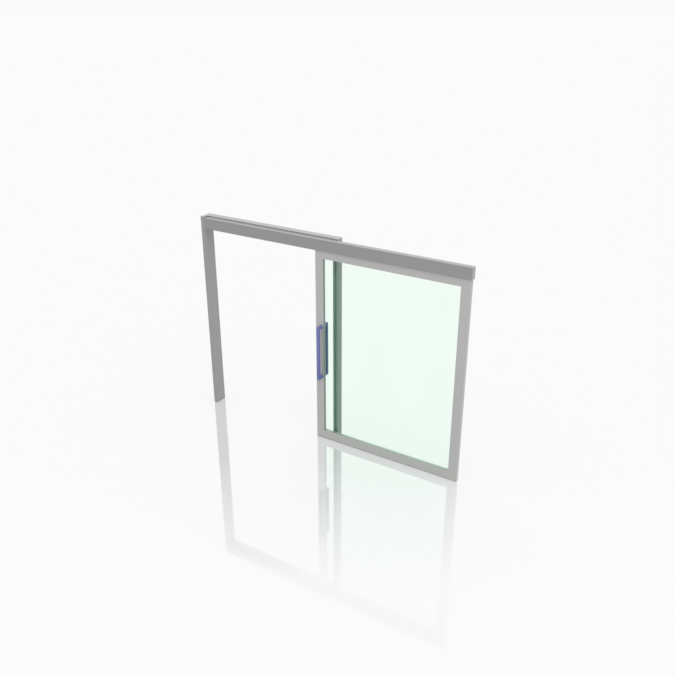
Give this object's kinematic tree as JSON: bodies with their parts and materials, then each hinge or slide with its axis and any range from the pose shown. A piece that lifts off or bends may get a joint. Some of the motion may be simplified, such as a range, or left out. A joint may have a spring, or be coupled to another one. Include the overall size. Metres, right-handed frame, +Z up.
{
  "type": "glass sliding patio door",
  "caption": "Glass sliding patio door: one framed glass leaf hung from a covered track in front of the wall, with long pull handles on both faces; the leaf slides sideways to close.",
  "frame": {"origin": "centre of the left jamb's foot, on the finished floor", "axes": "+X along the wall, from the left jamb towards the side where the leaf parks; +Y from the side with the track cover through the wall; +Z up"},
  "size_m": [3.076, 0.196, 2.23],
  "materials": {
    "frame_aluminium": "matt anodised, the leaf",
    "fixed_aluminium": "matt anodised, a shade darker: jambs, head and track cover",
    "mill_aluminium": "mill",
    "zinc_steel": "zinc plated",
    "black_rubber": "matt",
    "grey_rubber": "matt",
    "nylon": "matt",
    "handle_finish": "satin, blue grey",
    "glass": "clear, slightly green"
  },
  "bodies": {
    "frame": {"left_jamb": "fixed_aluminium", "left_jamb_foot_plate": "mill_aluminium", "left_jamb_top_cap": "fixed_aluminium", "right_jamb": "fixed_aluminium", "right_jamb_foot_plate": "mill_aluminium", "right_jamb_top_cap": "fixed_aluminium", "rear_head": "fixed_aluminium", "track_header": "mill_aluminium", "track_cover": "fixed_aluminium", "header_end_cap": "fixed_aluminium", "roller_rail": "zinc_steel", "closed_stop_block": "mill_aluminium", "closed_stop_buffer": "black_rubber", "open_stop_block": "mill_aluminium", "open_stop_buffer": "black_rubber", "floor_guide": "nylon"},
    "leaf": {"left_stile": "frame_aluminium", "right_stile": "frame_aluminium", "top_rail": "frame_aluminium", "bottom_rail": "frame_aluminium", "left_stile_foot_plug": "nylon", "leading_edge_seal": "black_rubber", "bottom_sweep_seal": "grey_rubber", "glass_pane": "glass", "front_glazing_gasket": "grey_rubber", "rear_glazing_gasket": "grey_rubber", "front_pull_bar": "handle_finish", "front_pull_upper_post": "handle_finish", "front_pull_lower_post": "handle_finish", "rear_pull_bar": "handle_finish", "rear_pull_upper_post": "handle_finish", "rear_pull_lower_post": "handle_finish", "left_carriage": "zinc_steel", "left_carriage_left_wheel": "nylon", "left_carriage_right_wheel": "nylon", "left_hanger_bolt": "zinc_steel", "right_carriage": "zinc_steel", "right_carriage_left_wheel": "nylon", "right_carriage_right_wheel": "nylon", "right_hanger_bolt": "zinc_steel"}
  },
  "joints": [
    {"name": "leaf_slide", "type": "slide", "parent": "frame", "child": "leaf", "axis": [-1, 0, 0], "range_m": [0, 1.388]}
  ]
}
